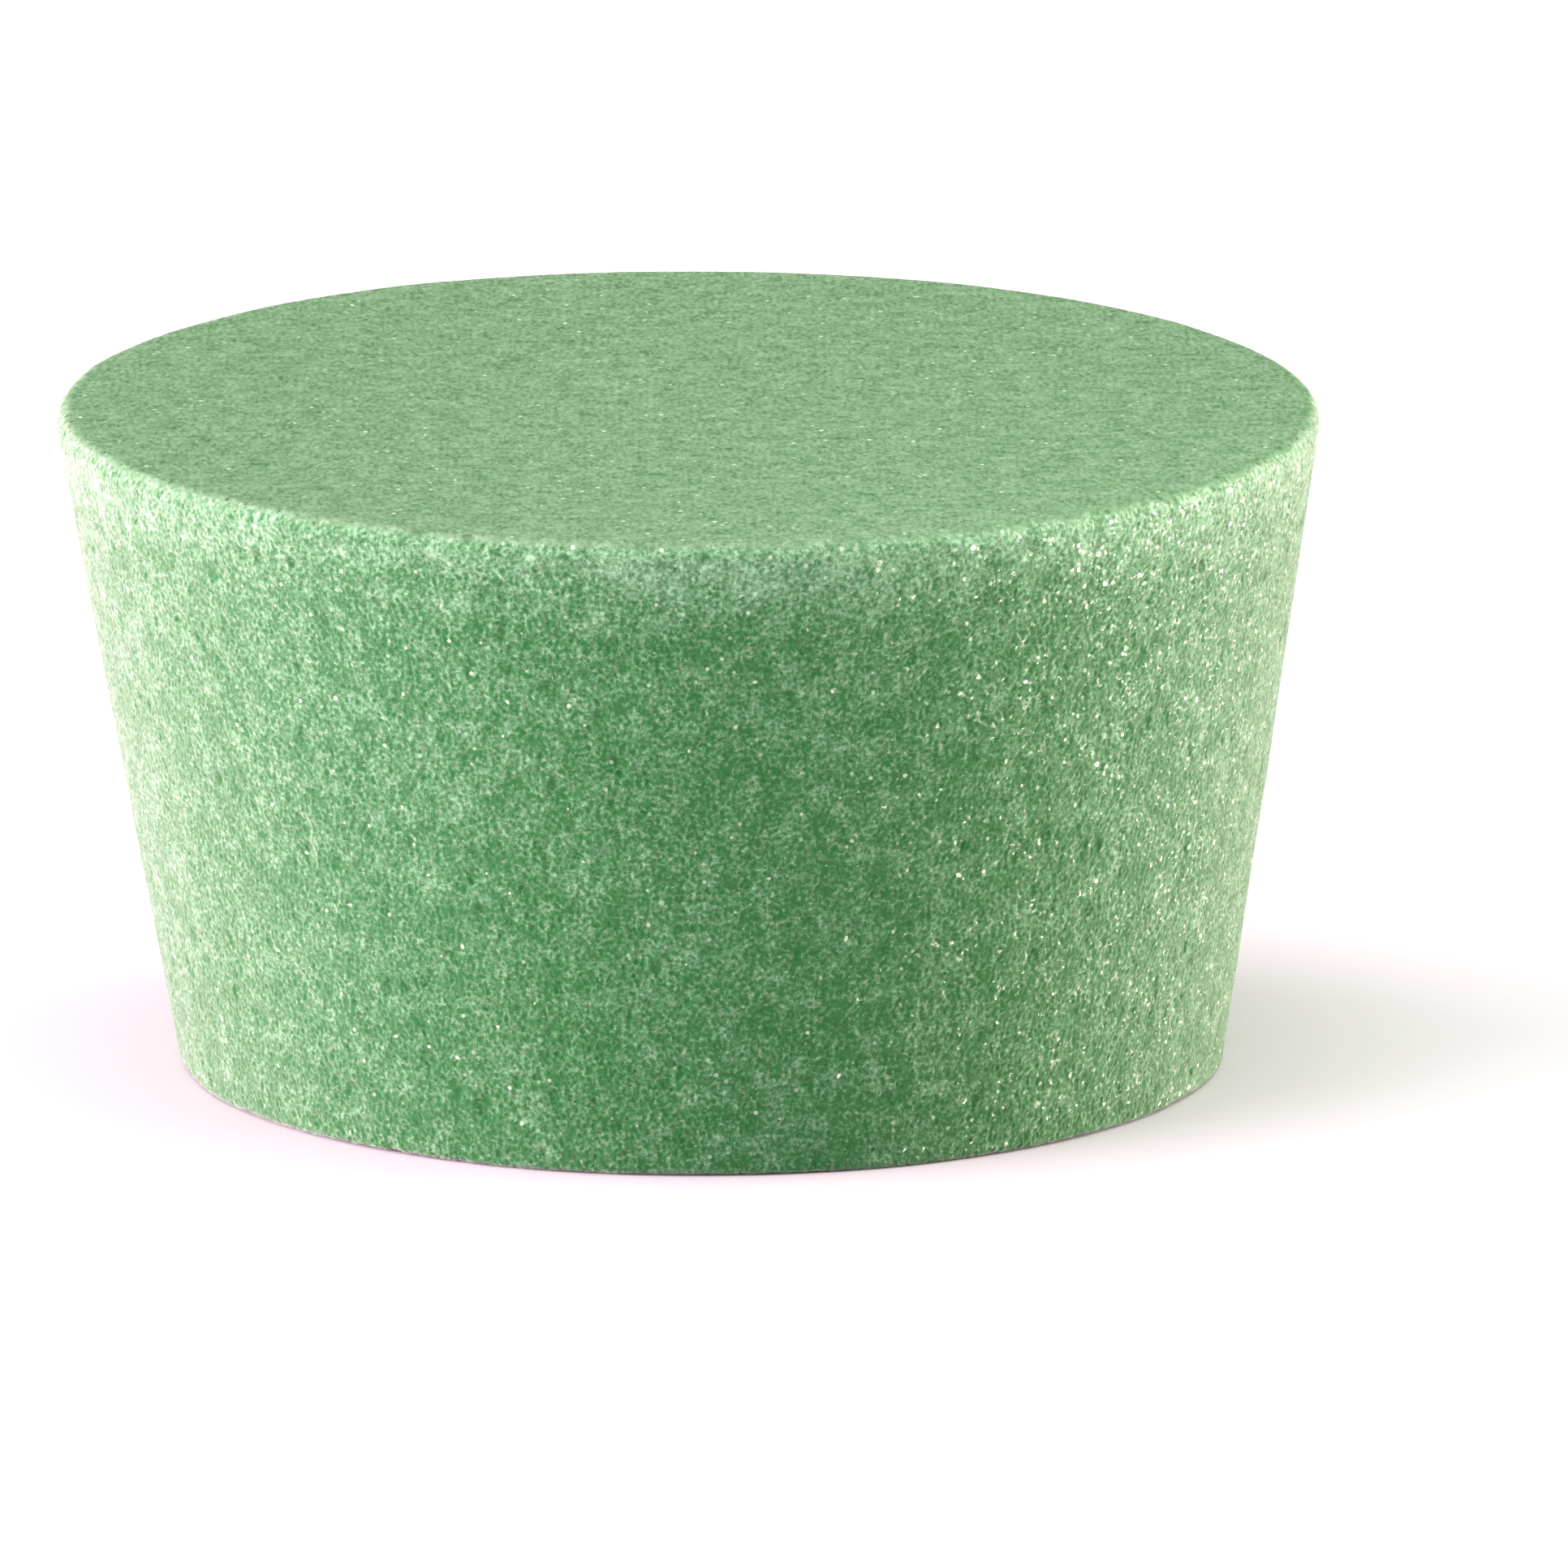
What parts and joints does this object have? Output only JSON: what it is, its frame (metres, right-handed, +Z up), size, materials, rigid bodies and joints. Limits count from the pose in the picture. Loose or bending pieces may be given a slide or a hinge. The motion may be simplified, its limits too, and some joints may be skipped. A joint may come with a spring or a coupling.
{
  "type": "floral foam block",
  "caption": "Round tapered block of rigid green floral foam, wider at the top, that holds stems pushed into it and wedges into a pot.",
  "frame": {"origin": "centre of the flat base, on the surface that the block stands on", "axes": "+Z up along the block's axis, from the narrow base to the wide top; X and Y lie in the base and are alike, because the block is round"},
  "size_m": [0.0914, 0.0914, 0.0483],
  "materials": {
    "foam": "cut rigid foam: fine open cells, rough and sparkling on the side, smoother on the top"
  },
  "bodies": {
    "root": {"foam_block": "foam"}
  },
  "joints": []
}
